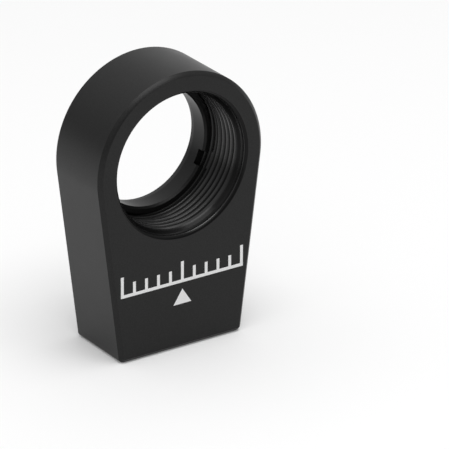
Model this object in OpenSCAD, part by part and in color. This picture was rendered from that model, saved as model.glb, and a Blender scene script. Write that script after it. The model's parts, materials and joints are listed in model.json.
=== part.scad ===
// Fixed mount for a 10 mm round optic, with the threaded ring that retains the optic.
// The mount stands on z = 0 with its foot centred on the origin. The optical axis runs
// along Y, and the threaded mouth faces -Y.

/* [Mount] */
// Thickness of the mount along the optical axis
plate_t = 5.9; // [5.6:0.1:8]
// Height of the optical axis above the base
axis_h = 14; // [13:0.1:20]
// Radius of the round head about the optical axis
head_r = 6.8; // [6.3:0.1:8]
// Width of the foot, outside its rounded corners
foot_w = 10.3; // [8:0.1:12]
// Radius of the foot's bottom corners
corner_r = 0.4; // [0.35:0.05:1]
// Radius that breaks the rims of the front and rear faces
rim_r = 0.3; // [0.1:0.05:0.35]

/* [Optic bore] */
// Major diameter of the retaining thread, which also clears the optic
thread_d = 10.5; // [10.2:0.1:11]
// Pitch of the retaining thread
thread_pitch = 0.5; // [0.4:0.05:0.6]
// Clear diameter through the lip that the optic rests on
lip_d = 9.2; // [9:0.1:9.6]
// Thickness of that lip
lip_t = 0.6; // [0.4:0.1:1]
// Chamfer at the threaded mouth
mouth_c = 0.2; // [0.1:0.05:0.4]
// Chamfer at the lip's rear edge
lip_c = 0.1; // [0.05:0.05:0.2]

/* [Post hole] */
// Major diameter of the post screw's thread
post_d = 4.17; // [3:0.01:4.3]
// Depth of the full bore of the post hole
post_depth = 5.5; // [4:0.1:6]
// Chamfer at the mouth of the post hole
post_c = 0.25; // [0.1:0.05:0.3]

/* [Retaining ring] */
// Height of the ring along its axis
ring_h = 1.5; // [1.2:0.1:2]
// Inside diameter of the ring
ring_bore_d = 8.9; // [8.4:0.1:9]
// Radial running clearance between the ring and the bore
ring_gap = 0.04; // [0.02:0.01:0.1]
// Height of the plain rim above the ring's thread
ring_rim_h = 0.35; // [0.2:0.05:0.5]
// Chamfer round the outside of the plain rim
ring_rim_c = 0.12; // [0.06:0.02:0.18]
// Width of the two spanner slots
slot_w = 1.1; // [0.8:0.1:1.4]
// Depth of the two spanner slots
slot_depth = 0.55; // [0.3:0.05:0.7]
// Angle of the slots from level once the ring is home
slot_a = -24; // [-90:1:90]

/* [Hidden] */
$fn = 128;
anodised = [0.10, 0.10, 0.11];
ring_anodised = [0.16, 0.16, 0.17];
// Length by which a cutter runs past the face that it opens
past = 1;
// Half of the angle at the point of a twist drill
drill_half_a = 59;

// Steps round the plate's head, its foot corners and its rims
head_fn = 128;
corner_fn = 32;
rim_fn = 24;

// Stations along the bore, from the plate's middle towards the mouth
front_w = plate_t / 2;
rear_w = -plate_t / 2;
seat_w = rear_w + lip_t;

// Radii of the ring, from its thread's crests inwards
thread_depth = 0.54 * thread_pitch;
ring_r = thread_d / 2 - ring_gap;
ring_rim_r = ring_r - 0.6 * thread_depth;
ring_lead_c = 0.9 * thread_depth;
ring_edge_c = 0.15;

// Turns the plate frame (x across, y up, z towards the mouth) into the part's frame
module stand_up() {
  rotate([90, 0, 0]) children();
}

// A disc of radius r in the plate frame, as thick as the plate, with both rims rounded
module rim_disc(r) {
  rotate_extrude() intersection() {
    translate([0, rear_w]) square([r, plate_t]);
    union() {
      translate([0, rear_w]) square([r - rim_r, plate_t]);
      translate([0, rear_w + rim_r]) square([r, plate_t - 2 * rim_r]);
      for (side = [-1, 1]) translate([r - rim_r, side * (front_w - rim_r)])
        circle(r = rim_r, $fn = rim_fn);
    }
  }
}

// The plate without its holes: straight sides run tangent from the head to the foot's corners
module plate() {
  hull() {
    translate([0, axis_h]) rim_disc(head_r, $fn = head_fn);
    for (side = [-1, 1]) translate([side * (foot_w / 2 - corner_r), corner_r])
      rim_disc(corner_r, $fn = corner_fn);
  }
}

// The stepped bore: chamfered mouth, thread, shoulder for the optic, and clear lip
module optic_bore() {
  bore_r = thread_d / 2;
  lip_r = lip_d / 2;
  translate([0, axis_h, 0]) rotate_extrude() polygon([
    [0, rear_w - past],
    [lip_r + lip_c + past, rear_w - past],
    [lip_r, rear_w + lip_c],
    [lip_r, seat_w],
    [bore_r, seat_w],
    [bore_r, front_w - mouth_c],
    [bore_r + mouth_c + past, front_w + past],
    [0, front_w + past],
  ]);
}

// The blind hole for the post screw, with a chamfered mouth and a drill point
module post_hole() {
  r = post_d / 2;
  rotate_extrude() polygon([
    [0, -past],
    [r + post_c + past, -past],
    [r, post_c],
    [r, post_depth],
    [0, post_depth + r / tan(drill_half_a)],
  ]);
}

module mount_body() {
  color(anodised) difference() {
    stand_up() plate();
    stand_up() optic_bore();
    post_hole();
  }
}

// The ring's turned section: seat at the bottom, plain rim and slotted face at the top
module ring_section() {
  bore_r = ring_bore_d / 2;
  thread_top = ring_h - ring_rim_h;
  polygon([
    [bore_r, 0],
    [ring_r - ring_lead_c, 0],
    [ring_r, ring_lead_c],
    [ring_r, thread_top],
    [ring_rim_r, thread_top],
    [ring_rim_r, ring_h - ring_rim_c],
    [ring_rim_r - ring_rim_c, ring_h],
    [bore_r + ring_edge_c, ring_h],
    [bore_r, ring_h - ring_edge_c],
  ]);
}

module retaining_ring() {
  color(ring_anodised) stand_up() translate([0, axis_h, seat_w]) rotate(slot_a) difference() {
    rotate_extrude() ring_section();
    translate([-thread_d / 2, -slot_w / 2, ring_h - slot_depth])
      cube([thread_d, slot_w, slot_depth + past]);
  }
}

mount_body();
retaining_ring();
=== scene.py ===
"""Looks for the optical lens mount: blasted black anodised plate, cut threads, turned retaining ring.

Sizes written here are in millimetres, and the scene is in metres. The mount stands on z = 0, and
its optical axis runs along Y, with the threaded mouth facing -Y. A level along that axis is
counted from the plate's middle towards the mouth, and a depth from the front face inwards.
"""

import json
import math

import bmesh
import bpy
from mathutils import Matrix, Vector


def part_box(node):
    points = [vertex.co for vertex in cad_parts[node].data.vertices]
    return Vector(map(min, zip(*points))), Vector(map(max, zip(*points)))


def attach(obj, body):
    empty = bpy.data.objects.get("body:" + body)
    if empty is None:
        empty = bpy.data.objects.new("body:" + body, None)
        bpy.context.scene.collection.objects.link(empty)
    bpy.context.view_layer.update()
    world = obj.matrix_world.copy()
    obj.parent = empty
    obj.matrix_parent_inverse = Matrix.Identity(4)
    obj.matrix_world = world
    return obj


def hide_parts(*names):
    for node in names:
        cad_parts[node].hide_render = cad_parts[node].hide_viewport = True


MM = 0.001

# The plate's details that its box doesn't give, as in the part's source
HEAD_R = 6.8
FOOT_HALF = 5.15
CORNER_R = 0.4
RIM_R = 0.3
MOUTH_CHAMFER = 0.2
LIP_R = 4.6
LIP_THICKNESS = 0.6
LIP_CHAMFER = 0.1
POST_CHAMFER = 0.25
POST_DEPTH = 5.5
DRILL_HALF_ANGLE = math.radians(59)

# The ring's details, as in the part's source
RING_BORE_R = 4.45
RING_RIM_H = 0.35
RING_RIM_DROP = 0.162
RING_RIM_CHAMFER = 0.12
RING_EDGE = 0.15
SLOT_W = 1.1
SLOT_DEPTH = 0.55
SLOT_ANGLE = math.radians(-24)

# Edges that only this scene softens or breaks
# Share by which the plate's rims are flattened from a quarter round towards a chamfer
RIM_FLATNESS = 0.8
# Width of the worn strip along the mouth's edges
MOUTH_EDGE = 0.05
# Breaks on the ring's edges that the source leaves sharp
RING_BREAK = 0.04
# Width of the narrow faces round the front and rear faces, which keep those flat to the eye
FACE_MARGIN = 0.06

# Threads: pitches, heights, and the flats of their crests and roots, in pitches
OPTIC_PITCH = 0.5
OPTIC_THREAD_H = 0.22
OPTIC_WIDE_FLAT = 0.5
OPTIC_NARROW_FLAT = 0.1
POST_PITCH = 25.4 / 32
POST_THREAD_H = 0.43
POST_WIDE_FLAT = 0.25
POST_NARROW_FLAT = 0.125
# Share of a flat that its worn corners take, at each end
WORN_FLAT = 0.15
# Depth of a crest of the bore's thread, at the right of the bore
BORE_CREST = 0.95
# Depths at which the cone from the mouth down to the crests of the bore's thread starts and ends
BORE_CONE = (0.55, 0.86)
# Depth at which the grooves of the bore's thread start, and the length over which they deepen
THREAD_START = 0.98
THREAD_LEAD = 0.14
# Length over which a thread runs out before a face
RUN_OUT = 0.3

# Fineness of the meshes
TURN_STEPS = 240
CORNER_STEPS = 8
RIM_STEPS = 6
POST_STEPS = 96
# Least space between a thread's rows and the loops that end its wall, in pitches
ROW_SPACE = 0.03
# Edges that turn further than this stay sharp
SHARP_ANGLE = math.radians(34)

# The print on the face: a plain ten millimetre scale over an index mark
PRINT_LINE = 0.24
# Depth that the print reaches below the front face, and so no other face
PRINT_REACH = 0.03
SCALE_HALF = 5
SCALE_Z = 5.2
SCALE_TICK = 0.95
SCALE_LONG_TICK = 1.5
INDEX_LOW = 3.45
INDEX_HIGH = 4.6
INDEX_HALF = 0.75

# The finish of the whole part: its dye, dark and light
DYE_DARK = (0.006, 0.006, 0.006, 1)
DYE_LIGHT = (0.011, 0.011, 0.011, 1)
INK = (0.88, 0.88, 0.88, 1)

# The plate's blasted finish: sizes of its grains and its clouds, and how rough it is
PLATE_GRAIN = 0.09
PLATE_CLOUD = 1.6
GRAIN_RANGE = (0.3, 0.7)
PLATE_ROUGHNESS = 0.36
ROUGHNESS_SPREAD = 0.03
PLATE_IOR = 1.32
PLATE_BUMP = 0.0015

# The lathe's finish: sizes of its tool marks and its grains, and how rough it is
TOOL_MARK = 0.08
TURNED_GRAIN = 0.12
TURNED_IOR = 1.36
TURNED_BUMP = 0.0004
BORE_ROUGHNESS = 0.26
RING_ROUGHNESS = 0.34
RING_SHINE = 0.33

# The bore's crests are polished, and its grooves stay dull over these depths below a crest. Over the
# same depths the grooves are also coloured darker, as painted shade.
GROOVE_DEPTHS = (0.02, 0.12)
# Colour of the grooves, darker than the dye: painted shade in the recesses
GROOVE_PAINTED_SHADE = (0.0045, 0.0045, 0.0045, 1)
GROOVE_SHINE = 0.22
CREST_SHINE = 0.65
# Depths over which the crests reach their polish, and its share at the first of them. A crest with less
# polish also takes more of the grooves' painted shade.
POLISH_DEPTHS = (0.8, 1.6)
POLISH_START = 0.65
# The worn inner edge of the mouth glints over a strip of twice this width
EDGE_SHINE = 1.0
GLINT_HALF = 0.0227

# The floor: half its side, its colour, and the glow that only the camera and mirrors see
FLOOR_HALF = 3000
FLOOR_WHITE = (0.8, 0.8, 0.8, 1)
FLOOR_GLOW = 0.12

# The dome's light at two heights, and its darker and brighter sides: the direction of each, the
# cosines between which it fades in, and its level
DOME_HEIGHTS = (0.12, 0.65)
DOME_LIGHT = (0.5, 1.0)
DARK_SIDE = (0.15, -0.97, 0.15)
DARK_SPREAD = (0.55, 0.9)
DARK_LEVEL = 0.35
BRIGHT_SIDE = (0.65, 0.75, 0.05)
BRIGHT_SPREAD = (0.8, 1.0)
BRIGHT_LEVEL = 0.4

# The one lamp, a softbox over the front of the mount
OVERHEAD_SIZE = 220
OVERHEAD_PLACE = (0, -85, 300)
OVERHEAD_WATTS = 0.5

# The camera stands where the photograph was taken from, with a long lens
CAMERA_AZIMUTH = math.radians(-34.229)
CAMERA_ELEVATION = math.radians(24.076)
CAMERA_ROLL = math.radians(0.317)
CAMERA_DISTANCE = 305.65
CAMERA_AIM = (5.558, 0.019, 7.032)
CAMERA_LENS = 345.05
CAMERA_NEAR = 10


# ---------------------------------------------------------------- sizes from the part itself

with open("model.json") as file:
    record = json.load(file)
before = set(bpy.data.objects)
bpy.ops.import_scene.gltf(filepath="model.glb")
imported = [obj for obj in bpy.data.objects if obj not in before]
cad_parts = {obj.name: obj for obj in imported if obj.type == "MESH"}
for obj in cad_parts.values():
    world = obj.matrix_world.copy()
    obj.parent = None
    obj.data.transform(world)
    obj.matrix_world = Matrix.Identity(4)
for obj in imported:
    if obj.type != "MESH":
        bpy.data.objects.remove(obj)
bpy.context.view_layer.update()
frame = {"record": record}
body_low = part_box("mount_body")[0]
ring_low, ring_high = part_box("retaining_ring")
mounts = {mount["name"]: mount for mount in frame["record"]["mounts"]}
AXIS_H = mounts["optic_bore"]["pos_m"][2] / MM
BORE_R = mounts["optic_bore"]["dims"]["r_mm"]
POST_R = mounts["post_hole"]["dims"]["r_mm"]
FRONT = -body_low.y / MM
SEAT = LIP_THICKNESS - FRONT
RING_R = (ring_high.x - ring_low.x) / 2 / MM
RING_H = (ring_high.y - ring_low.y) / MM
RING_TOP = SEAT + RING_H


# ---------------------------------------------------------------- curves and threads


def slope(start, end, value):
    """0 before start, 1 after end, and a straight rise between them."""
    return min(max((value - start) / (end - start), 0), 1)


def mixed(a, b, share):
    """a and b mixed, with the given share of b."""
    return a + (b - a) * share


class Thread:
    """A thread with flat crests and roots, given in pitches. crest_level is the level of a crest's
    middle at angle 0, in mm."""

    def __init__(self, pitch, height, crest_level, crest, root):
        self.pitch = pitch
        self.height = height
        self.crest_level = crest_level
        self.crest = crest
        self.root = root

    def rows(self):
        """The phases, in pitches from the crest's middle, that a turn's mesh needs a row at."""
        on_crest = self.crest * (0.5 - WORN_FLAT)
        below_crest = self.crest * (0.5 + WORN_FLAT / 2)
        above_root = 0.5 - self.root * (0.5 + WORN_FLAT / 2)
        on_root = 0.5 - self.root * (0.5 - WORN_FLAT)
        up = (-below_crest, -on_crest)
        down = (on_crest, below_crest, above_root, on_root)
        return up + down + (1 - on_root, 1 - above_root)

    def level(self, phase, turn):
        """The level of a phase at an angle, given in turns: a right-hand thread rises with it."""
        return self.crest_level + (phase + turn) * self.pitch

    def rise(self, phase):
        """The thread's height at a phase, in mm."""
        away = abs(phase - round(phase))
        root_end = 0.5 - self.root / 2
        share = (root_end - away) / (root_end - self.crest / 2)
        return self.height * min(max(share, 0), 1)


# A tapped hole has wide crests and narrow roots, and the ring's own thread is the reverse of it
BORE_THREAD = Thread(
    OPTIC_PITCH,
    OPTIC_THREAD_H,
    FRONT - BORE_CREST,
    OPTIC_WIDE_FLAT,
    OPTIC_NARROW_FLAT,
)
RING_THREAD = Thread(
    OPTIC_PITCH,
    OPTIC_THREAD_H,
    FRONT - BORE_CREST + OPTIC_PITCH / 2,
    OPTIC_NARROW_FLAT,
    OPTIC_WIDE_FLAT,
)
POST_THREAD = Thread(POST_PITCH, POST_THREAD_H, 0, POST_WIDE_FLAT, POST_NARROW_FLAT)


# ---------------------------------------------------------------- meshes


class Skin:
    """Collects the points and faces of one closed surface, in millimetres."""

    def __init__(self):
        self.points = []
        self.faces = []

    def add(self, point):
        self.points.append(point)
        return len(self.points) - 1

    def loop(self, points):
        return [self.add(point) for point in points]

    def bridge(self, loops):
        """Joins each loop to the next with quads."""
        for a, b in zip(loops, loops[1:]):
            for i in range(len(a)):
                self.faces.append((a[i - 1], a[i], b[i], b[i - 1]))

    def cap(self, loop, tip):
        """Closes a loop with triangles that meet at tip."""
        end = self.add(tip)
        for i in range(len(loop)):
            self.faces.append((loop[i - 1], loop[i], end))

    def build(self, name):
        """The mesh object, in metres, with its faces turned outwards."""
        mesh = bpy.data.meshes.new(name)
        mesh.from_pydata([Vector(point) * MM for point in self.points], [], self.faces)
        work = bmesh.new()
        work.from_mesh(mesh)
        bmesh.ops.recalc_face_normals(work, faces=work.faces)
        work.to_mesh(mesh)
        work.free()
        piece = bpy.data.objects.new(name, mesh)
        bpy.context.scene.collection.objects.link(piece)
        return piece


class TurnedSkin(Skin):
    """A surface about an axis. place(turn, radius, level) gives a point of it, and turns are where
    its loops have their points, in turns."""

    def __init__(self, place, turns):
        super().__init__()
        self.place = place
        self.turns = turns

    def circle(self, radius, level):
        return self.loop([self.place(turn, radius, level) for turn in self.turns])

    def wall(self, thread, low_loop, high_loop, low, high, radius):
        """A threaded wall between loops at the levels low and high. radius(level, rise) gives the
        wall's radius."""
        rows = thread.rows()
        first = math.floor((low - thread.crest_level) / thread.pitch) - 2
        last = math.ceil((high - thread.crest_level) / thread.pitch) + 1
        phases = [turn + row for turn in range(first, last) for row in rows]
        space = ROW_SPACE * thread.pitch
        made = {}

        def corner(column, row):
            """The point at a column and row of the wall. Rows past its ends fall on its loops."""
            if column == len(self.turns):
                return corner(0, row + len(rows))
            if row < 0:
                return low_loop[column]
            if row >= len(phases):
                return high_loop[column]
            turn = self.turns[column]
            level = thread.level(phases[row], turn)
            if level < low + space:
                return low_loop[column]
            if level > high - space:
                return high_loop[column]
            if (column, row) not in made:
                point = self.place(turn, radius(level, thread.rise(phases[row])), level)
                made[column, row] = self.add(point)
            return made[column, row]

        for column in range(len(self.turns)):
            for row in range(-len(rows) - 1, len(phases)):
                square = (
                    corner(column, row),
                    corner(column + 1, row),
                    corner(column + 1, row + 1),
                    corner(column, row + 1),
                )
                face = [p for i, p in enumerate(square) if p != square[i - 1]]
                if len(face) > 2:
                    self.faces.append(face)


def cut(piece, cutter):
    """Takes the cutter out of the piece."""
    boolean = piece.modifiers.new("cut", "BOOLEAN")
    boolean.operation = "DIFFERENCE"
    boolean.solver = "MANIFOLD"
    boolean.object = cutter
    finished = piece.evaluated_get(bpy.context.evaluated_depsgraph_get())
    mesh = bpy.data.meshes.new_from_object(finished)
    piece.modifiers.clear()
    piece.data = mesh
    bpy.data.objects.remove(cutter)


def shade(piece):
    """Smooth shading that keeps sharp edges."""
    piece.data.shade_smooth()
    piece.data.set_sharp_from_angle(angle=SHARP_ANGLE)


def on_axis(turn, radius, level):
    """A point about the optical axis: turn from the right, anticlockwise as seen from the mouth."""
    angle = math.tau * turn
    return (radius * math.cos(angle), -level, AXIS_H + radius * math.sin(angle))


# ---------------------------------------------------------------- the mount's plate


def plate_outline():
    """The outline seen from the mouth, as pairs of a point and the outward direction there."""
    across = FOOT_HALF - CORNER_R
    down = CORNER_R - AXIS_H
    # The direction that the right side faces, as a tangent to the head and to the foot's corner
    lean = math.acos((HEAD_R - CORNER_R) / math.hypot(across, down)) + math.atan2(down, across)
    step = math.tau / TURN_STEPS

    def arc(x, z, radius, start, end, steps):
        points = []
        for i in range(steps + 1):
            angle = start + (end - start) * i / steps
            cos, sin = math.cos(angle), math.sin(angle)
            points.append((Vector((x + radius * cos, z + radius * sin)), Vector((cos, sin))))
        return points

    def between(a, b):
        """Points on the straight line from a to b, evenly spread as seen from the axis."""
        start, end, facing = a[0], b[0], a[1]
        centre = Vector((0, AXIS_H))
        from_angle = math.atan2(*reversed(start - centre))
        to_angle = math.atan2(*reversed(end - centre))
        sweep = (to_angle - from_angle) % math.tau
        steps = round(sweep / step)
        height = (start - centre).dot(facing)
        points = []
        for i in range(1, steps):
            angle = from_angle + sweep * i / steps
            ray = Vector((math.cos(angle), math.sin(angle)))
            points.append((centre + ray * height / ray.dot(facing), facing))
        return points

    head_steps = round((math.pi - 2 * lean) / step)
    head = arc(0, AXIS_H, HEAD_R, lean, math.pi - lean, head_steps)
    left = arc(-across, CORNER_R, CORNER_R, math.pi - lean, 1.5 * math.pi, CORNER_STEPS)
    right = arc(across, CORNER_R, CORNER_R, 1.5 * math.pi, math.tau + lean, CORNER_STEPS)
    return (
        head
        + between(head[-1], left[0])
        + left
        + between(left[-1], right[0])
        + right
        + between(right[-1], head[0])
    )


def post_tap():
    """What the drill and tap take out of the foot."""

    def upright(turn, radius, level):
        """A point about the post hole's axis, with levels counted up from the foot."""
        angle = math.tau * turn
        return (radius * math.cos(angle), radius * math.sin(angle), level)

    def wall_radius(level, rise):
        lead = slope(POST_CHAMFER, POST_CHAMFER + RUN_OUT, level)
        return POST_R - rise * lead * slope(POST_DEPTH, POST_DEPTH - RUN_OUT, level)

    skin = TurnedSkin(upright, [i / POST_STEPS for i in range(POST_STEPS)])
    below = skin.circle(POST_R + 2 * POST_CHAMFER, -POST_CHAMFER)
    start = skin.circle(POST_R, POST_CHAMFER)
    end = skin.circle(POST_R, POST_DEPTH)
    skin.cap(below, (0, 0, -POST_CHAMFER))
    skin.bridge([below, start])
    skin.wall(POST_THREAD, start, end, POST_CHAMFER, POST_DEPTH, wall_radius)
    skin.cap(end, (0, 0, POST_DEPTH + POST_R / math.tan(DRILL_HALF_ANGLE)))
    return skin.build("post_tap")


def mount_plate():
    """The plate with its rounded rims, stepped threaded bore and tapped foot, as one surface."""
    outline = plate_outline()
    top = max(range(len(outline)), key=lambda i: outline[i][0].y)
    # The circles have as many points as the outline, and the top one of each lines up with its top
    skin = TurnedSkin(on_axis, [0.25 + (i - top) / len(outline) for i in range(len(outline))])
    height = BORE_THREAD.height
    start = FRONT - THREAD_START

    def edge(inset, level):
        return skin.loop([(p.x - inset * n.x, -level, p.y - inset * n.y) for p, n in outline])

    def wall_radius(level, rise):
        groove = (height - rise) * slope(start, start - THREAD_LEAD, level)
        return BORE_R - (height - groove) * slope(SEAT, SEAT + RUN_OUT, level)

    def rim(side):
        """Loops over a rim, from the side wall to the face."""
        loops = []
        for i in range(RIM_STEPS + 1):
            share = i / RIM_STEPS
            angle = math.pi / 2 * share
            inset = mixed(1 - math.cos(angle), share, RIM_FLATNESS)
            drop = mixed(1 - math.sin(angle), 1 - share, RIM_FLATNESS)
            loops.append(edge(RIM_R * inset, side * (FRONT - RIM_R * drop)))
        return loops

    slant = MOUTH_EDGE * math.sqrt(0.5)
    seat = skin.circle(BORE_R, SEAT)
    first = skin.circle(BORE_R - height, start)
    lip = [
        skin.circle(LIP_R, SEAT),
        skin.circle(LIP_R, LIP_CHAMFER - FRONT),
        skin.circle(LIP_R + LIP_CHAMFER, -FRONT),
    ]
    mouth = [
        skin.circle(BORE_R + MOUTH_CHAMFER + MOUTH_EDGE, FRONT),
        skin.circle(BORE_R + MOUTH_CHAMFER - slant, FRONT - slant),
        skin.circle(BORE_R + slant, FRONT - MOUTH_CHAMFER + slant),
        skin.circle(BORE_R, FRONT - MOUTH_CHAMFER - MOUTH_EDGE),
        skin.circle(BORE_R, FRONT - BORE_CONE[0]),
        skin.circle(BORE_R - height, FRONT - BORE_CONE[1]),
        first,
    ]
    rear = [
        skin.circle(LIP_R + LIP_CHAMFER + FACE_MARGIN, -FRONT),
        edge(RIM_R + FACE_MARGIN, -FRONT),
    ]
    front = [
        edge(RIM_R + FACE_MARGIN, FRONT),
        skin.circle(BORE_R + MOUTH_CHAMFER + MOUTH_EDGE + FACE_MARGIN, FRONT),
    ]
    skin.bridge([seat] + lip + rear + rim(-1)[::-1] + rim(1) + front + mouth)
    skin.wall(BORE_THREAD, seat, first, SEAT, start, wall_radius)
    plate = skin.build("mount_plate")
    cut(plate, post_tap())
    shade(plate)
    return plate


# ---------------------------------------------------------------- the retaining ring


def ring_turning():
    """The ring as it leaves the lathe, screwed home on the seat."""
    skin = TurnedSkin(on_axis, [i / TURN_STEPS for i in range(TURN_STEPS)])
    root = RING_R - RING_THREAD.height
    rim = RING_R - RING_RIM_DROP
    shelf = RING_TOP - RING_RIM_H
    bottom = SEAT + RING_BREAK

    def wall_radius(level, rise):
        lead = slope(bottom, bottom + RUN_OUT, level)
        return root + rise * lead * slope(shelf, shelf - RUN_OUT / 2, level)

    low = skin.circle(root, bottom)
    high = skin.circle(root, shelf - RING_BREAK)
    skin.bridge([
        high,
        skin.circle(rim - RING_BREAK, shelf),
        skin.circle(rim, shelf + RING_BREAK),
        skin.circle(rim, RING_TOP - RING_RIM_CHAMFER),
        skin.circle(rim - RING_RIM_CHAMFER, RING_TOP),
        skin.circle(RING_BORE_R + RING_EDGE, RING_TOP),
        skin.circle(RING_BORE_R, RING_TOP - RING_EDGE),
        skin.circle(RING_BORE_R, SEAT + RING_BREAK),
        skin.circle(RING_BORE_R + RING_BREAK, SEAT),
        skin.circle(root - RING_BREAK, SEAT),
        low,
    ])
    skin.wall(RING_THREAD, low, high, bottom, shelf - RING_BREAK, wall_radius)
    return skin.build("lock_ring")


def slot_cutter():
    """The bar that mills both spanner slots at once."""
    skin = Skin()
    across = Vector((math.cos(SLOT_ANGLE), 0, math.sin(SLOT_ANGLE)))
    up = Vector((-math.sin(SLOT_ANGLE), 0, math.cos(SLOT_ANGLE)))
    corners = [(-1, -1), (1, -1), (1, 1), (-1, 1)]

    def section(level):
        middle = Vector((0, -level, AXIS_H))
        return skin.loop([middle + across * BORE_R * a + up * SLOT_W / 2 * b for a, b in corners])

    floor = section(RING_TOP - SLOT_DEPTH)
    above = section(RING_TOP + SLOT_DEPTH)
    skin.bridge([floor, above])
    skin.faces += [floor, above]
    return skin.build("slot_cutter")


def lock_ring():
    """The finished retaining ring."""
    ring = ring_turning()
    cut(ring, slot_cutter())
    shade(ring)
    return ring


# ---------------------------------------------------------------- materials


class Nodes:
    """Short ways to add nodes to a material or world."""

    def __init__(self, owner):
        owner.use_nodes = True
        self.tree = owner.node_tree
        self.tree.nodes.clear()

    def add(self, kind, settings=None, **inputs):
        """A node with its settings, and its inputs given by name as a value or another node's output."""
        node = self.tree.nodes.new("ShaderNode" + kind)
        for name, value in (settings or {}).items():
            setattr(node, name, value)
        for name, value in inputs.items():
            self.set(node.inputs[name.replace("_", " ")], value)
        return node

    def set(self, socket, value):
        if isinstance(value, bpy.types.NodeSocket):
            self.tree.links.new(value, socket)
        else:
            socket.default_value = value

    def math(self, operation, *values):
        node = self.add("Math", {"operation": operation})
        for socket, value in zip(node.inputs, values):
            self.set(socket, value)
        return node.outputs[0]

    def noise(self, size, detail=2.0, where=None):
        """Noise from 0 to 1 whose grains are about size mm across, in the piece's own space."""
        coordinates = where or self.add("TexCoord").outputs["Object"]
        node = self.add("TexNoise", Vector=coordinates, Scale=1 / (size * MM), Detail=detail)
        return node.outputs["Fac"]

    def ramp(self, value, low, high, to_low, to_high):
        """Value taken from the range low to high, smoothly into to_low to to_high."""
        node = self.add(
            "MapRange",
            {"interpolation_type": "SMOOTHSTEP"},
            Value=value,
            From_Min=low,
            From_Max=high,
            To_Min=to_low,
            To_Max=to_high,
        )
        return node.outputs["Result"]

    def mix(self, share, low, high):
        """A colour between low and high. The node's colour sockets share their names with others, so
        they go by number."""
        node = self.add("Mix", {"data_type": "RGBA"})
        for socket, value in ((node.inputs[0], share), (node.inputs[6], low), (node.inputs[7], high)):
            self.set(socket, value)
        return node.outputs[2]

    def bump(self, height, distance):
        """The normal of a surface whose height, from 0 to 1, spans distance mm."""
        node = self.add("Bump", Height=height, Distance=distance * MM, Strength=1.0)
        return node.outputs["Normal"]


def scale_print(nodes):
    """1 where the face is printed, and 0 elsewhere."""
    place = nodes.add("SeparateXYZ", Vector=nodes.add("TexCoord").outputs["Object"])
    x, y, z = [nodes.math("DIVIDE", place.outputs[axis], MM) for axis in "XYZ"]

    def near(value, middle, half):
        return nodes.math("COMPARE", value, middle, half)

    def within(value, low, high):
        return near(value, (low + high) / 2, (high - low) / 2)

    def both(a, b):
        return nodes.math("MULTIPLY", a, b)

    def either(a, b):
        return nodes.math("MAXIMUM", a, b)

    def ticks(spacing, height):
        """Upright lines from the scale's line up, spacing mm apart."""
        on_tick = nodes.math("LESS_THAN", nodes.math("PINGPONG", x, spacing / 2), PRINT_LINE / 2)
        return both(on_tick, within(z, SCALE_Z, SCALE_Z + height))

    line = near(z, SCALE_Z, PRINT_LINE / 2)
    scale = either(line, either(ticks(1, SCALE_TICK), ticks(SCALE_HALF, SCALE_LONG_TICK)))
    scale = both(scale, near(x, 0, SCALE_HALF + PRINT_LINE / 2))
    widening = INDEX_HALF / (INDEX_HIGH - INDEX_LOW)
    reach = nodes.math("MULTIPLY", nodes.math("SUBTRACT", INDEX_HIGH, z), widening)
    in_reach = nodes.math("LESS_THAN", nodes.math("ABSOLUTE", x), reach)
    index = both(in_reach, within(z, INDEX_LOW, INDEX_HIGH))
    return both(either(scale, index), near(y, -FRONT, PRINT_REACH))


def blasted_anodised():
    """Black anodised aluminium, blasted to a fine satin before it was dyed, and printed in white."""
    material = bpy.data.materials.new("blasted_black_anodised")
    nodes = Nodes(material)
    grain = nodes.noise(PLATE_GRAIN, detail=3.0)
    cloud = nodes.noise(PLATE_CLOUD, detail=3.0)
    dye = nodes.mix(nodes.ramp(grain, *GRAIN_RANGE, 0.0, 1.0), DYE_DARK, DYE_LIGHT)
    colour = nodes.mix(scale_print(nodes), dye, INK)
    spread = nodes.math("MULTIPLY", cloud, 2 * ROUGHNESS_SPREAD)
    roughness = nodes.math("ADD", PLATE_ROUGHNESS - ROUGHNESS_SPREAD, spread)
    shader = nodes.add("BsdfPrincipled", Base_Color=colour, Roughness=roughness, IOR=PLATE_IOR)
    nodes.set(shader.inputs["Normal"], nodes.bump(grain, PLATE_BUMP))
    nodes.add("OutputMaterial", Surface=shader.outputs[0])
    return material


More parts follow.
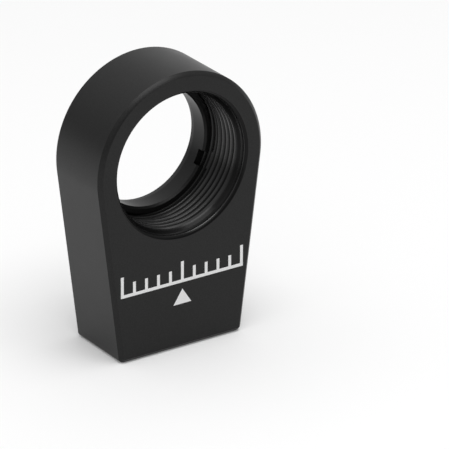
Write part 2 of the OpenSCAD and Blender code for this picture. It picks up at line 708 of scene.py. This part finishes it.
def turned_anodised(name, roughness, shine, worn=False):
    """Black anodised aluminium from the lathe, with fine tool marks round the axis. A worn bore has
    polished crests, dull grooves coloured darker as painted shade, and bright edges at its mouth."""
    material = bpy.data.materials.new(name)
    nodes = Nodes(material)
    place = nodes.add("SeparateXYZ", Vector=nodes.add("TexCoord").outputs["Object"])
    x, y, z = [place.outputs[axis] for axis in "XYZ"]
    height = nodes.math("SUBTRACT", z, AXIS_H * MM)
    squares = [nodes.math("MULTIPLY", value, value) for value in (x, height)]
    out = nodes.math("SQRT", nodes.math("ADD", *squares))
    marks = nodes.noise(TOOL_MARK, where=nodes.add("CombineXYZ", X=out, Y=y).outputs[0])
    grain = nodes.noise(TURNED_GRAIN, detail=3.0)
    colour = nodes.mix(grain, DYE_DARK, DYE_LIGHT)
    if worn:
        shallow, deep = [(BORE_R - OPTIC_THREAD_H + depth) * MM for depth in GROOVE_DEPTHS]
        near, far = [(depth - FRONT) * MM for depth in POLISH_DEPTHS]
        polish = nodes.ramp(y, near, far, POLISH_START, 1.0)
        crest = nodes.math("MULTIPLY", nodes.ramp(out, shallow, deep, 1.0, 0.0), polish)
        # Painted shade: the grooves are coloured darker than the crests, and so, in part, are the less
        # polished first crests at the mouth
        colour = nodes.mix(crest, GROOVE_PAINTED_SHADE, colour)
        dull = nodes.ramp(crest, 0.0, 1.0, GROOVE_SHINE, shine)
        edge = nodes.math("COMPARE", out, (BORE_R + MOUTH_EDGE / 2) * MM, GLINT_HALF * MM)
        shine = nodes.math("MAXIMUM", dull, nodes.math("MULTIPLY", edge, EDGE_SHINE))
    shader = nodes.add("BsdfPrincipled", Base_Color=colour, Roughness=roughness, IOR=TURNED_IOR)
    nodes.set(shader.inputs["Specular IOR Level"], shine)
    nodes.set(shader.inputs["Normal"], nodes.bump(marks, TURNED_BUMP))
    nodes.add("OutputMaterial", Surface=shader.outputs[0])
    return material


# ---------------------------------------------------------------- studio


def floor_sheet():
    """A plain white floor, which looks a little brighter than the light on it makes it."""
    half = FLOOR_HALF * MM
    corners = [(-half, -half, 0), (half, -half, 0), (half, half, 0), (-half, half, 0)]
    mesh = bpy.data.meshes.new("floor")
    mesh.from_pydata(corners, [], [(0, 1, 2, 3)])
    floor = bpy.data.objects.new("floor", mesh)
    bpy.context.scene.collection.objects.link(floor)
    material = bpy.data.materials.new("white_floor")
    nodes = Nodes(material)
    path = nodes.add("LightPath").outputs
    mirrored = nodes.math("MAXIMUM", path["Is Glossy Ray"], path["Is Transmission Ray"])
    seen = nodes.math("MAXIMUM", path["Is Camera Ray"], mirrored)
    lit = nodes.add("BsdfDiffuse", Color=FLOOR_WHITE)
    glow = nodes.add("Emission", Strength=nodes.math("MULTIPLY", seen, FLOOR_GLOW))
    both = nodes.add("AddShader")
    nodes.set(both.inputs[0], lit.outputs[0])
    nodes.set(both.inputs[1], glow.outputs[0])
    nodes.add("OutputMaterial", Surface=both.outputs[0])
    mesh.materials.append(material)


def studio_world():
    """A pale dome, darker at the horizon and in front of the mount."""
    world = bpy.data.worlds.new("studio")
    bpy.context.scene.world = world
    nodes = Nodes(world)
    direction = nodes.add("TexCoord").outputs["Generated"]
    height = nodes.add("SeparateXYZ", Vector=direction).outputs["Z"]
    dome = nodes.ramp(height, *DOME_HEIGHTS, *DOME_LIGHT)

    def towards(side):
        """The cosine of the angle between a view direction and a side."""
        facing = nodes.add("VectorMath", {"operation": "DOT_PRODUCT"})
        nodes.set(facing.inputs[0], direction)
        nodes.set(facing.inputs[1], Vector(side).normalized())
        return facing.outputs["Value"]

    dimming = nodes.ramp(towards(DARK_SIDE), *DARK_SPREAD, 1.0, DARK_LEVEL)
    sweep = nodes.ramp(towards(BRIGHT_SIDE), *BRIGHT_SPREAD, 0.0, BRIGHT_LEVEL)
    strength = nodes.math("ADD", nodes.math("MULTIPLY", dome, dimming), sweep)
    light = nodes.add("Background", Strength=strength)
    nodes.add("OutputWorld", Surface=light.outputs[0])


def softbox(name, size, watts, place, aim):
    """A square area lamp at place that faces aim, both in mm."""
    data = bpy.data.lights.new(name, "AREA")
    data.size = size * MM
    data.energy = watts
    lamp = bpy.data.objects.new(name, data)
    lamp.location = Vector(place) * MM
    lamp.rotation_euler = (Vector(place) - Vector(aim)).to_track_quat("Z", "Y").to_euler()
    bpy.context.scene.collection.objects.link(lamp)


def place_camera():
    """A long lens at the photograph's angle."""
    back = Vector((
        math.sin(CAMERA_AZIMUTH) * math.cos(CAMERA_ELEVATION),
        -math.cos(CAMERA_AZIMUTH) * math.cos(CAMERA_ELEVATION),
        math.sin(CAMERA_ELEVATION),
    ))
    right = Vector((math.cos(CAMERA_AZIMUTH), math.sin(CAMERA_AZIMUTH), 0))
    turn = Matrix.Rotation(CAMERA_ROLL, 3, back)
    axes = Matrix((turn @ right, turn @ back.cross(right), back)).transposed()
    place = (Vector(CAMERA_AIM) + back * CAMERA_DISTANCE) * MM
    data = bpy.data.cameras.new("camera")
    data.lens = CAMERA_LENS
    data.clip_start = CAMERA_NEAR * MM
    camera = bpy.data.objects.new("camera", data)
    camera.matrix_world = Matrix.Translation(place) @ axes.to_4x4()
    bpy.context.scene.collection.objects.link(camera)
    bpy.context.scene.camera = camera


# ---------------------------------------------------------------- the scene


def is_machined(place):
    """Whether a place on the plate, in metres, was cut after the plate was blasted. The foot's own
    face lies below the faces of the post hole's chamfer."""
    from_axis = math.hypot(place.x / MM, place.z / MM - AXIS_H)
    from_post = math.hypot(place.x / MM, place.y / MM)
    above_foot = POST_CHAMFER / 4 < place.z / MM < POST_DEPTH + POST_R
    in_post = from_post < POST_R + POST_CHAMFER and above_foot
    return from_axis < BORE_R + MOUTH_CHAMFER + MOUTH_EDGE / 2 or in_post


def dress(piece, body, node, slot, *materials):
    """Puts a finished piece in the place of a CAD node. A second material is for machined faces."""
    # Cutting a mesh leaves it an empty material slot
    piece.data.materials.clear()
    for material in materials:
        piece.data.materials.append(material)
    for face in piece.data.polygons:
        face.material_index = int(len(materials) > 1 and is_machined(face.center))
    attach(piece, body)
    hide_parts(node)


softbox("overhead", OVERHEAD_SIZE, OVERHEAD_WATTS, OVERHEAD_PLACE, (0, 0, AXIS_H))
blasted = blasted_anodised()
bored = turned_anodised("bored_black_anodised", BORE_ROUGHNESS, CREST_SHINE, worn=True)
turned = turned_anodised("turned_black_anodised", RING_ROUGHNESS, RING_SHINE)
dress(mount_plate(), "mount", "mount_body", "anodised_aluminium", blasted, bored)
dress(lock_ring(), "ring", "retaining_ring", "ring_anodised_aluminium", turned)
floor_sheet()
studio_world()
bpy.context.scene.view_settings.view_transform = "Standard"
place_camera()
